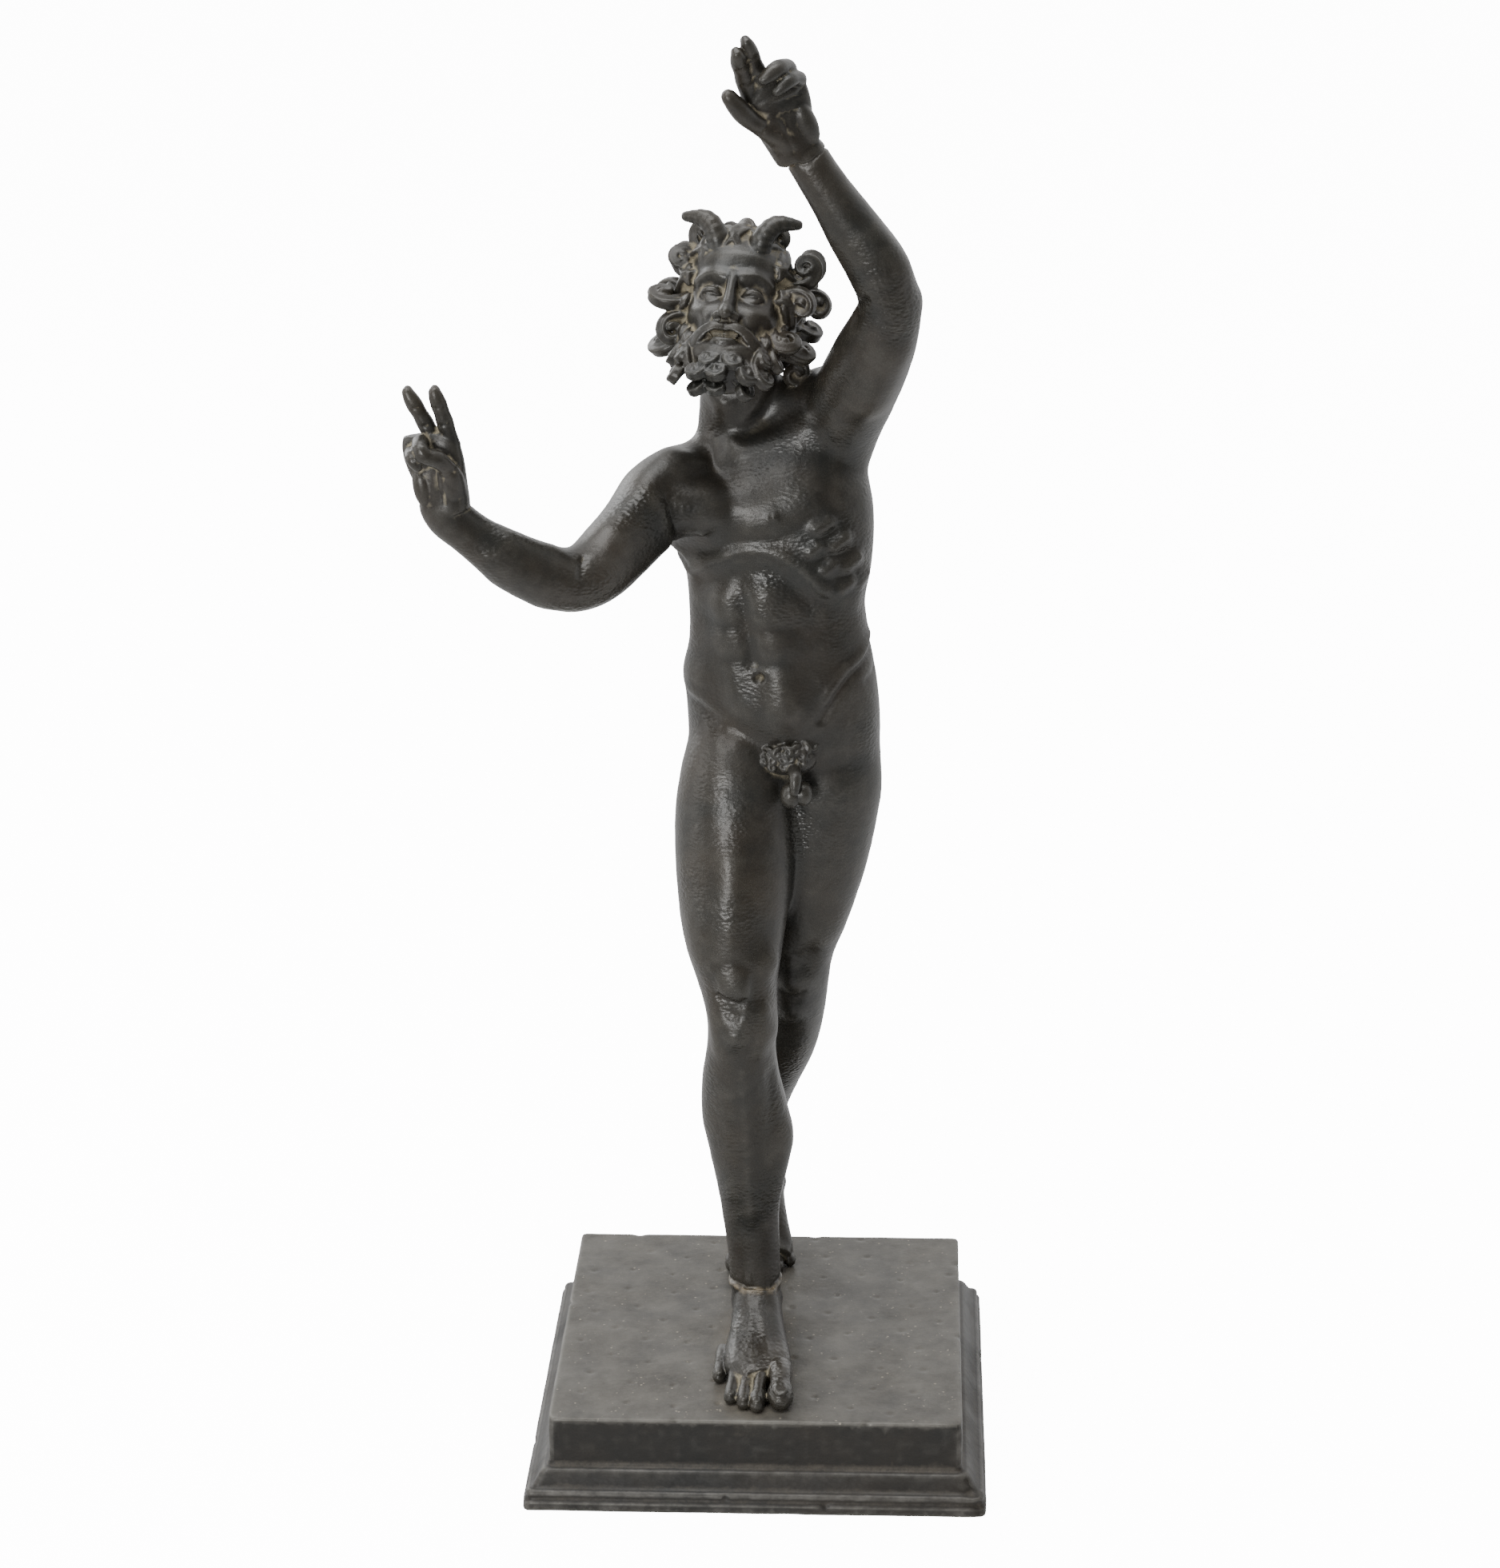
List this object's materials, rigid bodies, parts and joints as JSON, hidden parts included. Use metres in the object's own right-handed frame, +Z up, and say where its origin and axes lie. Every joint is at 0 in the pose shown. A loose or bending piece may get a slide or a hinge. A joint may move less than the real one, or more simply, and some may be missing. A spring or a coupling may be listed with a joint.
{
  "type": "bronze satyr statuette",
  "caption": "Cast bronze statuette of a dancing bearded satyr with horns, on a square moulded plinth; stands by its own weight.",
  "frame": {"origin": "centre of the plinth's underside", "axes": "+Z up; the figure faces -Y, with its own right hand on the -X side"},
  "size_m": [0.1544, 0.1314, 0.4072],
  "materials": {
    "plinth_bronze": "dark grey-brown patina, satin, speckled on the top and rubbed paler along its edges",
    "figure_bronze": "near-black brown patina, semi-gloss on the muscles, with tan dust in the hair, beard, fingers and toes"
  },
  "bodies": {
    "root": {"plinth": "plinth_bronze", "satyr_figure": "figure_bronze"}
  },
  "joints": []
}
